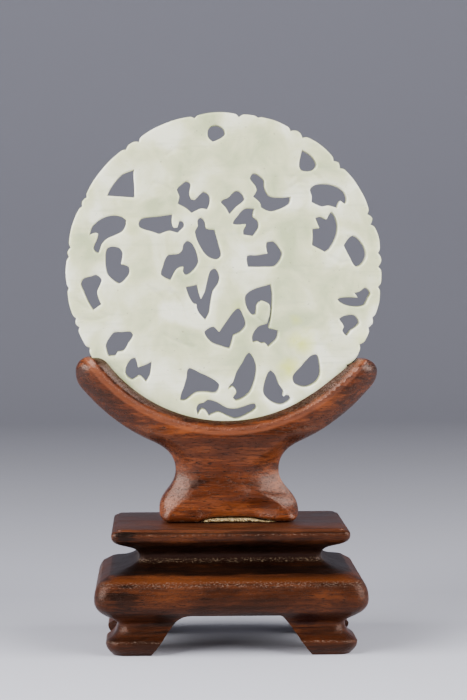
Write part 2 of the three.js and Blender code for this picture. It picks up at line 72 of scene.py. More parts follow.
def unevenness(points, size, seed=0.0):
    """Hand work, about -1 to 1: five sine waves summed, each finer, weaker and turned further."""
    total = np.zeros(points.shape[:-1])
    for k in range(5):
        turn = 1.7 * k + seed
        direction = np.array([math.cos(turn), math.sin(1.3 * turn), math.cos(0.7 * turn + 1)])
        phase = points @ direction * (2 * math.pi * 1.45 ** k / size)
        total += np.sin(phase + 2.1 * k + seed) / 1.4 ** k
    return total / 3


def rounded_rectangle(half_x, half_y, radius, along_x=44, along_y=30, around=7):
    """A level ring, anticlockwise from the right: four quarter arcs joined by even straights."""
    turn = np.linspace(0, math.pi / 2, around)
    arcs = []
    for corner, (sign_x, sign_y) in enumerate([(1, 1), (-1, 1), (-1, -1), (1, -1)]):
        angle = turn + corner * math.pi / 2
        arcs.append(np.stack([
            sign_x * (half_x - radius) + radius * np.cos(angle),
            sign_y * (half_y - radius) + radius * np.sin(angle),
        ], -1))
    ring = []
    for corner, steps in enumerate([along_x, along_y, along_x, along_y]):
        share = np.linspace(0, 1, steps + 1)[1:-1, None]
        straight = arcs[corner][-1] * (1 - share) + arcs[(corner + 1) % 4][0] * share
        ring += [arcs[corner], straight]
    return np.concatenate(ring)


def mesh_object(name, vertices, faces, smooth_below=35):
    """A mesh of points in millimetres and index faces, smooth where they meet below that angle."""
    mesh = bpy.data.meshes.new(name)
    places = (np.asarray(vertices) * MM).tolist()
    mesh.from_pydata(places, [], [list(map(int, face)) for face in faces])
    mesh.shade_smooth()
    mesh.set_sharp_from_angle(angle=math.radians(smooth_below))
    thing = bpy.data.objects.new(name, mesh)
    bpy.context.scene.collection.objects.link(thing)
    return thing


def lofted(name, rings):
    """Closed skin over a stack of rings of equal length, with a flat face at each end."""
    levels, count = rings.shape[:2]
    level, k = np.meshgrid(np.arange(levels - 1), np.arange(count), indexing="ij")
    after = (k + 1) % count
    quads = np.stack([level * count + k, level * count + after,
                      (level + 1) * count + after, (level + 1) * count + k], -1).reshape(-1, 4)
    ends = [np.arange(count)[::-1], (levels - 1) * count + np.arange(count)]
    return mesh_object(name, rings.reshape(-1, 3), [*quads, *ends])


def cut_away(thing, cutters, smooth_below):
    """Takes the cutters' space out of the thing, removes them and marks the edges that stay sharp."""
    for cutter in cutters:
        modifier = thing.modifiers.new("cut", "BOOLEAN")
        modifier.object = cutter
        modifier.solver = "EXACT"
    sawn = thing.evaluated_get(bpy.context.evaluated_depsgraph_get())
    finished = bpy.data.meshes.new_from_object(sawn)
    thing.modifiers.clear()
    thing.data = finished
    for cutter in cutters:
        bpy.data.objects.remove(cutter)
    thing.data.set_sharp_from_angle(angle=math.radians(smooth_below))


# Half width along X and height, from the sole up: toe, ankle, apron, shoulder, waist and bead
moulding = np.concatenate([
    bezier((20.35, 0), (20.5, 0), (20.55, 0.05), (20.6, 0.2), 3),
    bezier((20.6, 0.2), (21.2, 0.8), (21.65, 1.4), (21.65, 2.2), 6),
    bezier((21.65, 2.2), (21.6, 2.5), (21.3, 2.7), (21, 2.85), 3),
    bezier((21, 2.85), (20.1, 3.3), (19.65, 4.2), (19.65, 5.2), 7),
    bezier((19.65, 5.2), (19.65, 6.2), (23.55, 6.9), (23.55, 9.6), 12),
    bezier((23.55, 9.6), (23.55, 11), (23.2, 11.9), (22.6, 12.7), 7),
    [(22.6, 12.7), (22.52, 12.8), (22.4, 12.87), (21.7, 13.3), (21, 13.73), (20.88, 13.8)],
    bezier((20.75, 13.84), (18.9, 14.15), (17.3, 14.6), (16.2, 15.5), 10),
    bezier((16.2, 15.5), (16, 15.6), (15.85, 15.9), (15.85, 16.5), 5),
    bezier((15.85, 16.5), (15.85, 18.7), (20.6, 18.1), (20.6, 20.3), 12),
    bezier((20.6, 20.3), (20.6, 20.95), (20.35, 21.2), (19.95, 21.25), 6),
    [(19.85, 21.2), (19.78, 21.2), (19.7, 21.42), (19.55, 21.5)],
])


def base_rings():
    """The moulding's half widths, each run round a rectangle with rounded corners, tighter above
    the shoulder, then set in and moved by uneven tooling that fades out at the sole and the top."""
    rings = []
    for half, height in moulding:
        tighter = np.clip((height - corner_loss_from) / corner_loss_over, 0, 1)
        radius = apron_corner - corner_loss * tighter
        flat = rounded_rectangle(half, half - base_longer / 2, radius)
        rings.append(np.column_stack([flat + base_middle[:2], np.full(len(flat), height)]))
    rings = np.array(rings)
    outwards = rings[..., :2] - base_middle[:2]
    outwards /= np.linalg.norm(outwards, axis=-1, keepdims=True)
    worked = unevenness(rings, tooling_length) * np.clip(rings[..., 2] / tooling_fades_over, 0, 1)
    worked = worked * np.clip((bead_top - rings[..., 2]) / tooling_fades_over, 0, 1)
    rings[..., :2] += outwards * worked[..., None] * tooling_depth - outwards * inset
    return rings


def arch_cutter(name, low, turned, rounds):
    """A bar whose section is a trapezium from under the ground up to the apron: low is its half
    width on the ground, and the rounds are the sizes of its right and left top corner."""
    top, lean = low - leg_splay, leg_splay / apron_height
    sides = []
    for size in rounds:
        corner = (top + size * lean, apron_height - size)
        sides.append(np.concatenate([
            [(low - below_ground * lean, below_ground)],
            bezier(corner, (top + size * lean * 0.3, apron_height - size * 0.3),
                   (top - size * 0.3, apron_height), (top - size, apron_height), 5),
            [(top - size, apron_height)],
        ]))
    outline = np.concatenate([sides[0], sides[1][::-1] * (-1, 1)])
    ends = []
    for side in (saw_reach, -saw_reach):
        across, along = outline[:, 0], np.full(len(outline), side)
        x, y = (-along, across) if turned else (across, along)
        ends.append(np.column_stack([x + base_middle[0], y + base_middle[1], outline[:, 1]]))
    return lofted(name, np.array(ends))


base = lofted("carved_base", base_rings())
cut_away(base, [
    arch_cutter("arch_front", sole_half - sole_length, False, (0.5, 1.7)),
    arch_cutter("arch_side", sole_half - base_longer / 2 - sole_length, True, (0.8, 0.8)),
], smooth_below=35)
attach(base, "root")
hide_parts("base")


def colour(code):
    """An sRGB hex colour as linear red, green and blue with full alpha."""
    parts = [int(code[k:k + 2], 16) / 255 for k in (1, 3, 5)]
    return (*(p / 12.92 if p <= 0.04045 else ((p + 0.055) / 1.055) ** 2.4 for p in parts), 1)


def add(tree, kind, inputs=None, stops=None, **settings):
    """Adds a shader node with its properties, its inputs as values or as sockets to link, and its
    ramp's stops. Its outputs are given back."""
    node = tree.nodes.new("ShaderNode" + kind)
    for key, value in settings.items():
        setattr(node, key, value)
    for key, value in (inputs or {}).items():
        if isinstance(value, bpy.types.NodeSocket):
            tree.links.new(value, node.inputs[key])
        else:
            node.inputs[key].default_value = value
    if stops:
        ramp = node.color_ramp.elements
        while len(ramp) < len(stops):
            ramp.new(0.5)
        for element, (place, code) in zip(ramp, stops):
            element.position, element.color = place, colour(code)
    return node.outputs


def bare_material(name):
    """A new material and its node tree, still empty."""
    material = bpy.data.materials.new(name)
    material.use_nodes = True
    material.node_tree.nodes.clear()
    return material, material.node_tree


def finish_with(thing, material):
    """Gives the thing that material and no other."""
    thing.data.materials.clear()
    thing.data.materials.append(material)


# The cradle's ridge is part of a circle near the disc's, and rings of painted shade, painted highlight
# and dust lie round it in the wood's colour
disc_low, disc_high = (np.array(corner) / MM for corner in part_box("jade_disc"))
ridge_shift, ridge_radius = (0.37, 0, 1.6), 29.3
ridge_middle = (disc_low + disc_high) / 2 + ridge_shift

# Noises in the wood and its varnish, as waves per metre along X, Y and Z, detail, roughness and
# distortion: streaks 10 mm long and 1 mm thick, clouds of 13 by 6 mm, pores of 1 by 0.15 mm, crumbs
# of dust 0.2 to 0.4 mm wide, and the orange peel of the varnish, 0.4 to 0.5 mm wide
wood_noises = [
    ((95, 800, 1150), 7.0, 0.68, 0.9),
    ((75, 150, 190), 4.0, 0.6, 0.6),
    ((900, 6500, 6500), 2.0, 0.5, 0.0),
    ((2600, 4800, 4800), 4.0, 0.75, 0.0),
    ((1900, 2800, 2800), 3.0, 0.6, 0.0),
]

# A mark's core as a share of its reach, how far its ragged edge wanders, as a share of a band's
# reach and in millimetres for a spot, and the places in Y between which a front mark comes in
mark_core = 0.6
band_ragged, spot_ragged = 1.2, 12
front_from, front_full = -14.5, -16

# The polish varies by this much roughness below the roughest
gloss_range = 0.12


# Rosewood, scraped, stained and varnished. The grain runs from left to right in fine dark streaks,
# the varnish is a soft gloss over open pores and dust lies along some edges. Shade is painted dark
# into the hollows and creases, and highlights are painted lighter along some edges.
def varnished_rosewood(name, tones, marks_and_painted_light, roughest, glint, coat, seed):
    """Streaks and clouds mix the tones. A mark has a kind, a middle, a reach, a strength and a
    colour. It colours a height, a front height, a ring round the middle of the ridge or a spot, up
    to its strength in its core and not past its reach, with an edge that runs out raggedly along
    the streaks. A dusty mark is broken up into specks and is dull."""
    material, tree = bare_material(name)
    place = add(tree, "TexCoord")["Object"]

    noises = []
    for waves, detail, roughness, distortion in wood_noises:
        moved = add(tree, "Mapping", {"Vector": place, "Location": (seed, seed, 0), "Scale": waves})[0]
        noises.append(add(tree, "TexNoise", {
            "Vector": moved, "Scale": 1.0, "Detail": detail,
            "Roughness": roughness, "Distortion": distortion})[0])
    streak, cloud, fine_streak, crumbs, peel = noises
    both = add(tree, "Math", {0: streak, 1: cloud}, operation="ADD")[0]
    grain = add(tree, "MapRange", {"Value": both, "From Min": 0.74, "From Max": 1.26})[0]
    shown = add(tree, "ValToRGB", {"Fac": grain}, stops=tones)[0]
    pores = add(tree, "MapRange", {"Value": fine_streak, "From Min": 0.56, "From Max": 0.68})[0]
    shown = add(tree, "Mix", {0: pores, 6: shown, 7: colour(tones[0][1])}, data_type="RGBA")[2]

    axes = add(tree, "SeparateXYZ", {0: place})
    flat = add(tree, "Mapping", {"Vector": place, "Scale": (1, 0, 1)})[0]
    middle_of_rings = ridge_middle * (1, 0, 1) * MM
    around = add(tree, "VectorMath", {0: flat, 1: middle_of_rings}, operation="DISTANCE")["Value"]
    front = add(tree, "MapRange", {
        "Value": axes["Y"], "From Min": front_from * MM, "From Max": front_full * MM})[0]
    speck = add(tree, "MapRange", {"Value": crumbs, "From Min": 0.54, "From Max": 0.62})[0]
    dull = 0.0
    for kind, middle, reach, strength, code in marks_and_painted_light:
        if kind == "spot":
            ragged = spot_ragged * MM
            spot = np.array(middle) * MM
            gap = add(tree, "VectorMath", {0: place, 1: spot}, operation="DISTANCE")["Value"]
        else:
            ragged = band_ragged * reach * MM
            measured = around if kind.endswith("ring") else axes["Z"]
            gap = add(tree, "Math", {0: measured, 1: middle * MM}, operation="SUBTRACT")[0]
            gap = add(tree, "Math", {0: gap}, operation="ABSOLUTE")[0]
        gap = add(tree, "Math", {0: streak, 1: ragged, 2: gap}, operation="MULTIPLY_ADD")[0]
        near = add(tree, "MapRange", {
            "Value": gap, "From Min": reach * MM + ragged / 2,
            "From Max": mark_core * reach * MM + ragged / 2, "To Max": strength})[0]
        if kind == "front":
            near = add(tree, "Math", {0: near, 1: front}, operation="MULTIPLY")[0]
        if kind.startswith("dusty"):
            near = add(tree, "Math", {0: near, 1: speck}, operation="MULTIPLY")[0]
            dull = add(tree, "Math", {0: dull, 1: near}, operation="MAXIMUM")[0]
        shown = add(tree, "Mix", {0: near, 6: shown, 7: colour(code)}, data_type="RGBA")[2]

    gloss = add(tree, "MapRange", {
        "Value": cloud, "From Min": 0.35, "From Max": 0.7,
        "To Min": roughest - gloss_range, "To Max": roughest})[0]
    rough = add(tree, "Math", {0: gloss, 1: dull}, operation="ADD", use_clamp=True)[0]
    relief = add(tree, "Math", {0: streak, 1: pores}, operation="SUBTRACT")[0]
    relief = add(tree, "Math", {0: peel, 1: 2.6, 2: relief}, operation="MULTIPLY_ADD")[0]
    bump = add(tree, "Bump", {"Height": relief, "Strength": 0.4, "Distance": 0.08 * MM})[0]
    surface = add(tree, "BsdfPrincipled", {
        "Base Color": shown, "Roughness": rough, "Normal": bump, "Specular IOR Level": glint,
        "Specular Tint": colour("#ffcdb6"), "Coat Weight": coat, "Coat Roughness": 0.2,
        "Coat IOR": 1.5})[0]
    add(tree, "OutputMaterial", {"Surface": surface})
    return material


finish_with(base, varnished_rosewood(
    "varnished_dark_rosewood",
    [(0.05, "#1f0e07"), (0.5, "#381a0c"), (0.95, "#502812")], [
        # Painted shade: near black over the waist and along the top of the shoulder
        ("height", 16.6, 3.2, 0.85, "#040202"),
        ("height", 14.3, 0.6, 0.8, "#070403"),
        # Rubbed lighter orange on the front of the shoulder's bevel, with painted light where the
        # lamps fall on it
        ("front", 13.3, 0.8, 0.65, "#52280f"),
        ("dusty height", 12.4, 0.6, 0.3, "#8c7a6b"),
        # Painted shade: dark red-brown low in the waist
        ("height", 16.1, 0.7, 0.6, "#1d0d09"),
        ("dusty height", 15.75, 0.45, 0.4, "#a58d70"),
        ("height", 21.3, 0.12, 0.4, "#5c3222"),
        # Painted shade: a dark line along the top of the bead
        ("height", 20.9, 0.16, 0.6, "#0c0605"),
        ("dusty height", 20.6, 0.2, 0.25, "#8c7a6b"),
        ("dusty height", 2.45, 0.22, 0.4, "#8c7a6b"),
        # Painted shade along the tops of the arches, and in dark spots at the arches' corners, on the
        # belly's left and low on the apron; also a near black spot on the bead's left front corner
        ("height", 7, 0.7, 0.45, "#120b0a"),
        ("spot", (-17.8, -17.2, 9.8), 2.6, 0.7, "#0a0605"),
        ("spot", (-11, -14.2, 6.1), 2.6, 0.75, "#0a0605"),
        ("spot", (13.4, -14.2, 6.3), 2.8, 0.8, "#160606"),
        ("spot", (-17.6, -14.4, 20.4), 2.4, 0.9, "#030303"),
        ("spot", (-4.5, -15.9, 7.6), 2.2, 0.4, "#0c0504"),
    ], roughest=0.42, glint=0.22, coat=0.05, seed=4.0))


# The cradle is carved from a lighter plank of the same hardwood: two horns like a crescent, a
# waisted neck and a foot. A groove worked along the crescent takes the disc between two lips,
# and each lip is bevelled back to a soft ridge. The foot is glued on the base.
disc_radius = 27.95
disc_thickness = (disc_high - disc_low)[1]
seat_gap, seat_rise = 0.3, 15.9
sole_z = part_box("cradle")[0][2] / MM
centre_z = sole_z + seat_rise + seat_gap + disc_radius
drop = centre_z - sole_z
lip_cover, wood_under = 1.5, 4.85
lip_radius = disc_radius - lip_cover
under_radius = disc_radius + wood_under
horn_top, horn_width, horn_round = 15.1, 4.9, 2.4
foot_half, toe_round = 12.25, 1.9
neck_half, neck_rise = 9.1, 8.95
flare_angle, turn_angle = 24, 48
hollow_middle, hollow_half, hollow_height = 1.5, 7, 0.95
cradle_shift, cradle_lean = 0.3, 0.25
right_horn_lower = 0.7
foot_thick, neck_thinner, crescent_thicker, bevel = 4.8, 1.15, 0.6, 1.6


def arc(x, z, radius, start, end, steps):
    """Points on a circle between two angles in degrees, both ends included."""
    angle = np.radians(np.linspace(start, end, steps))
    return np.stack([x + radius * np.cos(angle), z + radius * np.sin(angle)], -1)


def hollow_rise(across):
    """Height of the hollow under the foot for -1 to 1 across it: one less the square of the place to
    the right, and fuller, one less its 4th power, to the left."""
    return hollow_height * (1 - np.abs(across) ** np.where(across < 0, 4, 2))


def cradle_outline():
    """Right half from sole to lip in arcs and Bezier curves about the disc's centre, then the same
    mirrored, then the hollow under the foot."""
    foot_z, neck_z = toe_round - drop, neck_rise - drop
    flare, turn = np.radians(flare_angle), np.radians(turn_angle)
    flare_x, flare_z = under_radius * np.sin(flare), -under_radius * np.cos(flare)
    turn_x, turn_z = under_radius * np.sin(turn), -under_radius * np.cos(turn)
    tip_x = math.sqrt(lip_radius ** 2 - horn_top ** 2)
    horn_x, horn_z = tip_x + horn_width, -horn_top - horn_round
    swell, out, up = (neck_z - foot_z) * 0.45, (flare_x - neck_half) * 0.6, (horn_z - turn_z) * 0.5
    right = np.concatenate([
        arc(foot_half - toe_round, foot_z, toe_round, -90, 0, 10)[:-1],
        bezier((foot_half, foot_z), (foot_half, foot_z + swell),
               (neck_half, neck_z - swell), (neck_half, neck_z), 24),
        bezier((neck_half, neck_z), (neck_half, neck_z + (flare_z - neck_z) * 0.55),
               (flare_x - out * np.cos(flare), flare_z - out * np.sin(flare)), (flare_x, flare_z), 24),
        arc(0, 0, under_radius, flare_angle - 90, turn_angle - 90, 40)[:-1],
        bezier((turn_x, turn_z), (turn_x + up * np.cos(turn), turn_z + up * np.sin(turn)),
               (horn_x, horn_z - up), (horn_x, horn_z), 14),
        arc(horn_x - horn_round, horn_z, horn_round, 0, 90, 12)[:-1],
        bezier((horn_x - horn_round, -horn_top), (horn_x - 3, -horn_top + 0.02),
               (tip_x + 0.9, -horn_top), (tip_x + 0.35, -horn_top - 0.12), 6),
        arc(0, 0, lip_radius, np.degrees(math.atan2(-horn_top - 0.35, tip_x - 0.2)), -90, 90),
    ])
    left = right[:-1][::-1] * (-1, 1)
    across = np.linspace(-1, 1, 40)
    hollow = np.stack([hollow_middle + hollow_half * across, hollow_rise(across) - drop], -1)
    return np.concatenate([right, left, hollow])


def evenly(loop, spacing):
    """The closed line walked in even steps of about that length."""
    step = np.linalg.norm(np.roll(loop, -1, 0) - loop, axis=1)
    walked = np.concatenate([[0], np.cumsum(step)])
    stops = np.linspace(0, walked[-1], max(int(walked[-1] / spacing), 6), endpoint=False)
    ring = np.vstack([loop, loop[:1]])
    return np.stack([np.interp(stops, walked, ring[:, axis]) for axis in (0, 1)], -1)


def distance_to(points, lines):
    """Each point's distance to the nearest of the line points, worked out in blocks."""
    nearest = []
    for block in np.array_split(points.astype(np.float32), max(len(points) // 1500, 1)):
        gaps = block[:, None] - lines[None].astype(np.float32)
        nearest.append(np.sqrt((gaps ** 2).sum(-1).min(1)))
    return np.concatenate(nearest)


edge_rows = (0.08, 0.2, 0.4)


def filled(loops, spacing):
    """Flat triangles inside the loops and outside their holes, on rows that follow the edges
    close to them, the last one with half as many points, and on a staggered grid elsewhere.
    A row's point that has another edge closer is left out, and the grid's rows are 0.87 of its
    spacing apart, as in even triangles. Gives points, triangles and distances to the edge."""
    edge = np.concatenate(loops)
    ends = np.cumsum([0] + [len(loop) for loop in loops])
    bounded = [list(range(start, end)) for start, end in zip(ends[:-1], ends[1:])]
    rows = [edge]
    for offset in edge_rows:
        for loop in loops:
            along = np.roll(loop, -1, 0) - np.roll(loop, 1, 0)
            inwards = np.stack([-along[:, 1], along[:, 0]], -1)
            inwards = inwards / np.linalg.norm(along, axis=1)[:, None]
            row = loop + inwards * offset
            clear = row[distance_to(row, edge) > offset * 0.93]
            rows.append(clear[::2] if offset == edge_rows[-1] else clear)
    low, high = edge.min(0), edge.max(0)
    x, z = np.meshgrid(np.arange(low[0], high[0], spacing),
                       np.arange(low[1], high[1], spacing * 0.87))
    x[1::2] += spacing / 2
    grid = np.stack([x.ravel(), z.ravel()], -1)
    rows.append(grid[distance_to(grid, edge) > edge_rows[-1] + spacing * 0.6])
    points = np.concatenate(rows)
    made = delaunay_2d_cdt(points.tolist(), [], bounded, 2, 1e-7)
    corners = np.array([tuple(v) for v in made[0]])
    triangles = np.array([face for face in made[2] if len(face) == 3])
    a, b, c = (corners[triangles[:, k]] for k in range(3))
    turned = np.cross(b - a, c - a) < 0
    triangles[turned] = triangles[turned][:, ::-1]
    used, triangles = np.unique(triangles, return_inverse=True)
    corners = corners[used]
    return corners, triangles.reshape(-1, 3), distance_to(corners, edge)


def standing_relief(name, corners, triangles, half, height):
    """Two mirrored sheets, each point at its half thickness in front of and behind the middle,
    joined by walls along every edge that only one triangle uses."""
    count = len(corners)
    sides = np.concatenate([triangles[:, [0, 1]], triangles[:, [1, 2]], triangles[:, [2, 0]]])
    single = ~np.isin(sides[:, 0] * count + sides[:, 1], sides[:, 1] * count + sides[:, 0])
    a, b = sides[single].T
    walls = np.stack([b, a, a + count, b + count], -1)
    x, z = corners[:, 0], corners[:, 1] + height
    vertices = np.concatenate([np.column_stack([x, -half, z]), np.column_stack([x, half, z])])
    faces = [*triangles, *(triangles[:, ::-1] + count), *walls]
    return mesh_object(name, vertices, faces, smooth_below=60)


def eased(value, start, end):
    """Smooth step from 0 at the start to 1 at the end."""
    share = np.clip((value - start) / (end - start), 0, 1)
    return share * share * (3 - 2 * share)


def cradle_half(points, edge):
    """Half thickness: broad foot, thin neck, thick horns, rounded into the outline. A ridge runs
    along the crescent: bevelled from it to the lip, falling off outside it. The neck is scooped
    out a little above a slanting line over the foot, deeper on the right."""
    x, z = points[:, 0], points[:, 1]
    above = z + drop
    plain = foot_thick - neck_thinner * eased(above, 1.6, 8.5)
    plain = plain + crescent_thicker * eased(above, 9.5, seat_rise)
    scoop = eased(above + 0.14 * x, 5.3, 6.5) * (1 - eased(above, 8, 12.5))
    plain = plain - scoop * (0.5 * eased(x, -1, 5) + 0.3 * eased(-x, 3, 7))

    # Rounding: from its lowest share at the outline to 1 at its reach, rounder at the neck's right
    side = eased(x, 0, 5) * (1 - eased(above, 9, 13))
    reach = 0.8 + (3.7 + 1.8 * side) * eased(above, 0.3, 3.4) - 1.7 * eased(above, 9, 15)
    lowest = 0.82 - (0.37 + 0.13 * side) * eased(above, 0.2, 2.4)
    bend = 1 - (1 - np.clip(edge / reach, 0, 1)) ** 2
    blunt = 0.5 - 0.5 * side
    rounding = lowest + (1 - lowest) * ((1 - blunt) * bend + blunt * np.sqrt(bend))

    # Ridge: a hollow bevel inside it, straighter on the right, and two slopes outside it
    right = eased(x, 2, 14)
    past_ridge = np.hypot(x - ridge_shift[0], z - ridge_shift[2]) - ridge_radius
    bevelled = plain - bevel * np.clip(-past_ridge / bevel, 0, 1.4) ** (1.8 - 0.8 * right)
    crescent = eased(above, 15.2, 17.5)
    falling = plain - crescent * (0.15 + 0.2 * right) * eased(past_ridge, 0, 0.5)
    falling = falling - crescent * 1.2 * np.clip((past_ridge - 0.5) / 4, 0, 1) ** 1.5
    half = np.minimum(bevelled, falling * np.maximum(rounding, eased(-past_ridge, -2.4, -0.1)))

    # The horns' tops are rounded over, and all of it is a little uneven
    top = np.clip((-horn_top - z) / 1.7, 0, 1)
    half = half * (0.55 + 0.45 * np.sqrt(1 - (1 - top) ** 2))
    spot = np.column_stack([x, z, above])
    return half - 0.06 + 0.07 * unevenness(spot, 11, 2.0) * np.clip(edge / 2, 0, 1)


outline = evenly(cradle_outline(), spacing=0.28)
points, triangles, edge = filled([outline], spacing=0.42)
half = cradle_half(points, edge)
points[:, 0] += cradle_shift + cradle_lean * (1 - eased(points[:, 1] + drop, 0, neck_rise))
on_right_horn = eased(points[:, 1], -horn_top - 5, -horn_top)
points[:, 1] -= right_horn_lower * eased(points[:, 0], 15, 21) * on_right_horn
cradle = standing_relief("carved_cradle", points, triangles, half, centre_z)
ring = arc(0, centre_z, disc_radius + seat_gap, 0, 360, 181)[:-1]
groove = [
    np.column_stack([ring[:, 0], np.full(len(ring), side), ring[:, 1]])
    for side in (disc_thickness / 2 + seat_gap, -disc_thickness / 2 - seat_gap)
]
cut_away(cradle, [lofted("groove_cutter", np.array(groove))], smooth_below=50)
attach(cradle, "root")
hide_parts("cradle")
finish_with(cradle, varnished_rosewood(
    "varnished_orange_rosewood",
    [(0.05, "#210e06"), (0.5, "#471f0d"), (0.95, "#6d3618")], [
        # Painted shade on the lip's bevel, a painted highlight along the ridge, and painted shade on
        # the slope outside it
        ("ring", 28.1, 1, 0.8, "#120805"),
        ("ring", 29.8, 0.8, 0.34, "#93553a"),
        ("ring", 33.2, 2.4, 0.4, "#1c0c07"),
        # Dust in specks along the ridge line, also standing in as a painted highlight
        ("dusty ring", 29.4, 0.3, 0.25, "#a88c7a"),
        ("dusty height", 21.75, 0.25, 0.5, "#8f7a66"),
        # Painted shade: dark spots in the neck's hollows, at the horns' outer edges and on the right
        # horn's bevel and slope
        ("spot", (6.5, -4.4, 31), 2.6, 0.5, "#1a0c08"),
        ("spot", (-25.6, -3.6, 48.4), 2.2, 0.7, "#220e07"),
        ("spot", (26, -3.6, 48), 2.2, 0.7, "#220e07"),
        ("spot", (19, -4.2, 45), 3, 0.5, "#241008"),
        ("spot", (22, -4, 43.6), 2, 0.5, "#220e07"),
        ("spot", (-5.2, -4.2, 28.7), 1.7, 0.75, "#1a0b08"),
    ], roughest=0.31, glint=0.4, coat=0.12, seed=11.0))


# Dried glue fills the shallow hollow under the foot. It is pale, granular and crumbled, squeezed
# out thicker towards the left and shrunk away from the foot towards the right.
glue_half, lump_size, thinnest, shrinkage = 4.15, 0.35, 0.12, 0.12


def glue_surface():
    """Rings across a bar along X, rounded as superellipses of power 4: the top follows the hollow
    and sinks to the right, and coarse and fine lumps push the surface in and out."""
    low, high = (np.array(corner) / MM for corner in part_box("glue_bead"))
    u = np.linspace(0, 1, 260)
    v = np.linspace(0, 2 * math.pi, 72, endpoint=False)
    along, around = np.meshgrid(u, v, indexing="ij")
    x = low[0] + inset + along * (high[0] - low[0] - 2 * inset)
    hollow = sole_z + hollow_rise((x - cradle_shift - cradle_lean - hollow_middle) / hollow_half)
    top = np.minimum(hollow - shrinkage, high[2] - 0.04) - 0.3 * eased(x, 3, 7.5)
    bottom = low[2] + 0.02
    top = np.maximum(top, bottom + thinnest)
    high_half, middle_z = (top - bottom) / 2, (top + bottom) / 2
    taper = np.sqrt(np.clip(np.minimum(along, 1 - along) * 9, 0.05, 1))
    up = np.sign(np.sin(around)) * np.abs(np.sin(around)) ** 0.5
    out = np.sign(np.cos(around)) * np.abs(np.cos(around)) ** 0.5 * (0.8 + 0.2 * taper)
    spot = np.stack([x, out * 4, up * high_half * 1.6], -1)
    lumps = 0.55 * unevenness(spot, 1.1, 1.0) + 0.45 * unevenness(spot, 0.5, 3.0)
    y = out * (glue_half + lump_size * lumps)
    return np.stack([x, y, middle_z + up * high_half * (0.82 + 0.18 * lumps)], -1)


glue = lofted("dried_glue_bead", glue_surface()[::-1])
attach(glue, "root")
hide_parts("glue_bead")


# Hide glue, dried and crumbled: pale grains in an amber film, quite without gloss
def dried_hide_glue():
    """One noise of grains about 0.3 mm wide gives both the tones and the bumps."""
    material, tree = bare_material("dried_hide_glue")
    place = add(tree, "TexCoord")["Object"]
    grains = add(tree, "TexNoise", {
        "Vector": place, "Scale": 3400.0, "Detail": 4.0, "Roughness": 0.75})[0]
    tones = [(0.4, "#2a1a0b"), (0.47, "#8a6c3f"), (0.58, "#d6bf8a")]
    shown = add(tree, "ValToRGB", {"Fac": grains}, stops=tones)[0]
    bump = add(tree, "Bump", {"Height": grains, "Strength": 0.9, "Distance": 0.3 * MM})[0]
    surface = add(tree, "BsdfPrincipled", {
        "Base Color": shown, "Roughness": 0.7, "Normal": bump, "IOR": 1.5})[0]
    add(tree, "OutputMaterial", {"Surface": surface})
    return material


finish_with(glue, dried_hide_glue())


# The disc is sawn from one slab of pale jade, pierced with a fretsaw, scalloped round its rim and
# polished, with a few shallow strokes cut in its face for veins and stems. Its outlines follow
# the solid's, and the curves between their corners are smoothed.
def front_loops(node):
    """Closed outlines of the node's flat front: edges of its front triangles that only one of
    them uses, walked end to end with the jade on the left."""
    mesh = node.data
    mesh.calc_loop_triangles()
    corners = np.empty(len(mesh.vertices) * 3)
    mesh.vertices.foreach_get("co", corners)
    corners = corners.reshape(-1, 3) / MM
    spots = np.round(corners * 1000).astype(np.int64)
    merged, index = np.unique(spots, axis=0, return_inverse=True)
    merged = merged / 1000
    faces = np.empty(len(mesh.loop_triangles) * 3, np.int64)
    mesh.loop_triangles.foreach_get("vertices", faces)
    faces = index.reshape(-1)[faces].reshape(-1, 3)
    faces = faces[(merged[faces][:, :, 1] < merged[:, 1].min() + 0.01).all(1)]
    sides = np.concatenate([faces[:, [0, 1]], faces[:, [1, 2]], faces[:, [2, 0]]])
    count = len(merged)
    single = ~np.isin(sides[:, 0] * count + sides[:, 1], sides[:, 1] * count + sides[:, 0])
    follow = dict(sides[single].tolist())
    loops = []
    while follow:
        start, here = follow.popitem()
        walk = [start]
        while here != start:
            walk.append(here)
            here = follow.pop(here)
        loops.append(merged[walk][:, [0, 2]] - (0, centre_z))
    return loops


def smoothed(loop, steps=5, corner=52):
    """A Catmull-Rom curve through the loop's points, broken where it turns by more than corner
    degrees: each span mixes its two ends and the point before and after by cubic weights."""
    before, after = loop - np.roll(loop, 1, 0), np.roll(loop, -1, 0) - loop
    turn = np.abs(np.angle(np.exp(1j * (np.arctan2(*after.T[::-1]) - np.arctan2(*before.T[::-1])))))
    sharp = (turn > math.radians(corner))[:, None]
    start, end = loop, np.roll(loop, -1, 0)
    first = np.where(sharp, 2 * start - end, np.roll(loop, 1, 0))
    last = np.where(np.roll(sharp, -1, 0), 2 * end - start, np.roll(loop, -2, 0))
    t = np.linspace(0, 1, steps, endpoint=False)[None, :, None]
    a, b, c, d = (part[:, None] for part in (first, start, end, last))
    curve = 0.5 * (2 * b + (c - a) * t + (2 * a - 5 * b + 4 * c - d) * t ** 2
                   + (3 * b - a - 3 * c + d) * t ** 3)
    return curve.reshape(-1, 2)


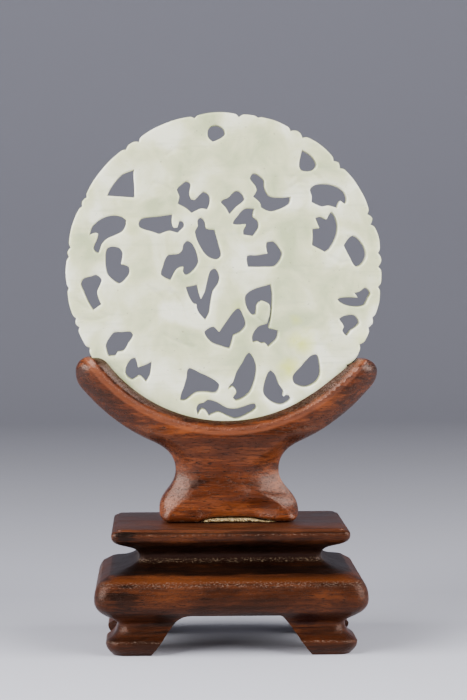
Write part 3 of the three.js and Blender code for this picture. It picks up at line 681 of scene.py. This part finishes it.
# Strokes cut in the face: the points they run through, in millimetres from the disc's centre
strokes = [
    [(-13.5, -2.6), (-11.2, -4.4), (-9.4, -7.4)],
    [(-9.6, -3.2), (-7.4, -5.6), (-6.6, -8.6)],
    [(-26, -5), (-23.6, -6.6), (-21, -7.6)],
    [(-25.4, -8.4), (-23, -8.6), (-20.6, -7.9)],
    [(-10.2, 20.4), (-8.4, 21.6), (-6.6, 21.4)],
    [(-12.2, 15.6), (-10.4, 15.2), (-8.8, 13.8)],
    [(12, 16.2), (13.6, 17.6), (15.4, 17.6), (17, 16.2)],
    [(11.8, 14.6), (13.2, 15.6), (14.8, 15.4)],
    [(-10.6, -11.2), (-8, -12.6), (-5.4, -13.4)],
    [(5.6, -8), (7.6, -9.8), (8.6, -12.2)],
    [(18.6, 2.4), (20.6, 1.2), (22.8, 1.6)],
]
stroke_width, stroke_depth = 0.3, 0.2
round_over, polish_depth = 0.32, 0.05


def face_half(points, edge):
    """Half thickness of the disc: flat, dished a little by polishing, with its edges rounded over
    as a quarter circle and each stroke a smooth dip."""
    inside = np.clip(edge, 0, round_over)
    rounding = round_over - np.sqrt(round_over ** 2 - (round_over - inside) ** 2)
    share = np.linspace(0, 1, 60)
    lines = np.concatenate([
        np.stack([np.interp(share, np.linspace(0, 1, len(stroke)), axis)
                  for axis in np.array(stroke).T], -1)
        for stroke in strokes])
    dip = stroke_depth * np.exp(-(distance_to(points, lines) / stroke_width) ** 2)
    spot = np.column_stack([points, points[:, 0] * 0])
    polish = polish_depth * unevenness(spot, 9, 5.0) * np.clip(edge / 1.5, 0, 1)
    return disc_thickness / 2 - inset - rounding - dip + polish


sawn_edges = front_loops(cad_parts["jade_disc"])
loops = [evenly(smoothed(loop), spacing=0.22) for loop in sawn_edges]
points, triangles, edge = filled(loops, spacing=0.32)
half = face_half(points, edge)
disc = standing_relief("pierced_jade_disc", points, triangles, half, centre_z)
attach(disc, "root")
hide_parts("jade_disc")

# Yellow stains in the jade: their middles from the disc's centre and their reach in millimetres,
# and their strength
stains = [
    (13.7, -12.8, 2.8, 0.95),
    (11.4, -17.4, 2.8, 0.9),
    (12.6, -8.8, 1.4, 0.5),
    (2.3, -6.5, 2.4, 0.25),
    (24.3, -12.5, 2.6, 0.4),
    (-4.7, -22.7, 2.4, 0.35),
    (-18, 8, 3.5, 0.15),
    (15.5, -19, 2.6, 0.3),
]


# Nephrite jade, polished by hand: light sinks in and spreads, so it looks cloudy and soft, with
# pale greenish clouds, a few yellow stains and tiny dark specks under a dull gloss
def polished_pale_jade():
    """Clouds 8 mm wide give the tones, thin layers leaning to one side darken them, and stains with
    ragged edges and specks 0.7 mm wide lie over them. Light spreads about 1.6 mm."""
    material, tree = bare_material("polished_pale_jade")
    place = add(tree, "TexCoord")["Object"]
    flat = add(tree, "Mapping", {"Vector": place, "Scale": (1, 0, 1)})[0]
    cloud = add(tree, "TexNoise", {
        "Vector": place, "Scale": 130.0, "Detail": 5.0, "Roughness": 0.5, "Distortion": 0.4})[0]
    tones = [(0.36, "#bdc49a"), (0.5, "#d9dab2"), (0.63, "#efefd8")]
    shown = add(tree, "ValToRGB", {"Fac": cloud}, stops=tones)[0]

    leaning = add(tree, "Mapping", {
        "Vector": place, "Rotation": (0, 0.6, 0), "Scale": (130, 130, 1300)})[0]
    layers = add(tree, "TexNoise", {"Vector": leaning, "Scale": 1.0, "Detail": 3.0})[0]
    share = add(tree, "MapRange", {
        "Value": layers, "From Min": 0.55, "From Max": 0.75, "To Max": 0.35})[0]
    shown = add(tree, "Mix", {0: share, 6: shown, 7: colour("#b2ba97")}, data_type="RGBA")[2]

    ragged = add(tree, "TexNoise", {"Vector": place, "Scale": 420.0, "Detail": 3.0})[0]
    for x, z, reach, strength in stains:
        middle = (x * MM, 0, (z + centre_z) * MM)
        away = add(tree, "VectorMath", {0: flat, 1: middle}, operation="DISTANCE")["Value"]
        further = add(tree, "Math", {0: ragged, 1: reach * MM * 1.1}, operation="MULTIPLY")[0]
        away = add(tree, "Math", {0: away, 1: further}, operation="ADD")[0]
        near = add(tree, "MapRange", {
            "Value": away, "From Min": reach * MM * 1.5, "From Max": reach * MM * 0.4,
            "To Max": strength})[0]
        shown = add(tree, "Mix", {0: near, 6: shown, 7: colour("#d2d84c")}, data_type="RGBA")[2]

    speck = add(tree, "TexNoise", {"Vector": place, "Scale": 1500.0, "Detail": 2.0})[0]
    share = add(tree, "MapRange", {
        "Value": speck, "From Min": 0.7, "From Max": 0.78, "To Max": 0.5})[0]
    shown = add(tree, "Mix", {0: share, 6: shown, 7: colour("#6b654e")}, data_type="RGBA")[2]
    fine = add(tree, "TexNoise", {
        "Vector": place, "Scale": 700.0, "Detail": 5.0, "Roughness": 0.6})[0]
    bump = add(tree, "Bump", {"Height": fine, "Strength": 0.25, "Distance": 0.12 * MM})[0]
    surface = add(tree, "BsdfPrincipled", {
        "Base Color": shown, "Roughness": 0.34, "IOR": 1.61, "Normal": bump,
        "Subsurface Weight": 0.6, "Subsurface Radius": (1.0, 1.0, 0.8),
        "Subsurface Scale": 1.6 * MM})[0]
    add(tree, "OutputMaterial", {"Surface": surface})
    return material


finish_with(disc, polished_pale_jade())


# A pale sweep of paper under and behind the object, soft boxes to both sides, one over the wall,
# two that face away from the object and light the paper far out, and a level camera 420 mm in
# front, rolled by just under half a degree, with its picture moved to frame the object
sweep_half, sweep_front, sweep_bend, bend_radius, sweep_top = 2500, -700, 500, 500, 1500


def paper_sweep():
    """Floor that turns up into a wall, carried sideways: a straight, a quarter circle, a straight."""
    turn = np.linspace(0, math.pi / 2, 24)
    profile = np.concatenate([
        [(sweep_front, 0)],
        np.stack([sweep_bend + bend_radius * np.sin(turn),
                  bend_radius - bend_radius * np.cos(turn)], -1),
        [(sweep_bend + bend_radius, sweep_top)],
    ])
    rows = [np.column_stack([np.full(len(profile), x), profile]) for x in (-sweep_half, sweep_half)]
    count = len(profile)
    k = np.arange(count - 1)
    quads = np.stack([k, k + count, k + count + 1, k + 1], -1)
    return mesh_object("paper_sweep", np.concatenate(rows), quads)


# Matt grey paper with painted light: palest just in front of the object, darker grey towards the front
# edge and behind it, and a little lighter again up the bend into the wall
def grey_paper_with_painted_light():
    """Grey tones by the distance in Y, from 0.6 m in front of the object to 1 m behind it."""
    material, tree = bare_material("grey_paper_with_painted_light")
    place = add(tree, "TexCoord")["Object"]
    along = add(tree, "SeparateXYZ", {0: place})["Y"]
    share = add(tree, "MapRange", {"Value": along, "From Min": -0.6, "From Max": 1.0})[0]
    tones = [
        (0, "#66666e"), (0.29, "#96969f"), (0.33, "#c6c6d0"), (0.375, "#babac4"), (0.41, "#9e9ea8"),
        (0.52, "#8b8b94"), (0.594, "#808089"), (0.69, "#767680"), (0.86, "#777782"), (1, "#82828d"),
    ]
    shown = add(tree, "ValToRGB", {"Fac": share}, stops=tones)[0]
    surface = add(tree, "BsdfPrincipled", {"Base Color": shown, "Roughness": 0.9})[0]
    add(tree, "OutputMaterial", {"Surface": surface})
    return material


sweep = paper_sweep()
finish_with(sweep, grey_paper_with_painted_light())

# Each box's place, aim and size in millimetres, and its power in watts
lights = [
    ("left_box", (-520, -300, 330), (0, 0, 50), (620, 620), 14.5),
    ("right_box", (520, -260, 300), (0, 0, 50), (580, 620), 10.5),
    ("wall_box", (0, 350, 1000), (0, 1000, 350), (1600, 200), 1.2),
    ("far_left_box", (-600, 0, 900), (-2400, 0, 200), (800, 800), 45),
    ("far_right_box", (600, 0, 900), (2400, 0, 200), (800, 800), 45),
]
for name, place, aim, size, power in lights:
    lamp = bpy.data.lights.new(name, "AREA")
    lamp.shape = "RECTANGLE"
    lamp.size, lamp.size_y = size[0] * MM, size[1] * MM
    lamp.energy = power
    thing = bpy.data.objects.new(name, lamp)
    towards = (np.array(aim) - np.array(place)).astype(float)
    thing.rotation_mode = "QUATERNION"
    thing.rotation_quaternion = Vector(towards).to_track_quat("-Z", "Y")
    thing.location = np.array(place) * MM
    bpy.context.scene.collection.objects.link(thing)

world = bpy.data.worlds.new("soft_room")
world.use_nodes = True
world.node_tree.nodes["Background"].inputs["Color"].default_value = colour("#bcc0cb")
world.node_tree.nodes["Background"].inputs["Strength"].default_value = 0.12
bpy.context.scene.world = world

photo_width, photo_height = 467, 700
focal_pixels = 2370
axis_x, axis_y = 160, 241
camera_place, camera_roll = (-11.24, -420, 71.05), 0.45
camera = bpy.data.cameras.new("camera")
camera.lens = focal_pixels / photo_height * camera.sensor_width
camera.shift_x = (photo_width / 2 - axis_x) / photo_height
camera.shift_y = -(photo_height / 2 - axis_y) / photo_height
camera_object = bpy.data.objects.new("camera", camera)
camera_object.location = np.array(camera_place) * MM
camera_object.rotation_euler = (math.radians(90), math.radians(camera_roll), 0)
bpy.context.scene.collection.objects.link(camera_object)
bpy.context.scene.camera = camera_object

bpy.context.view_layer.update()
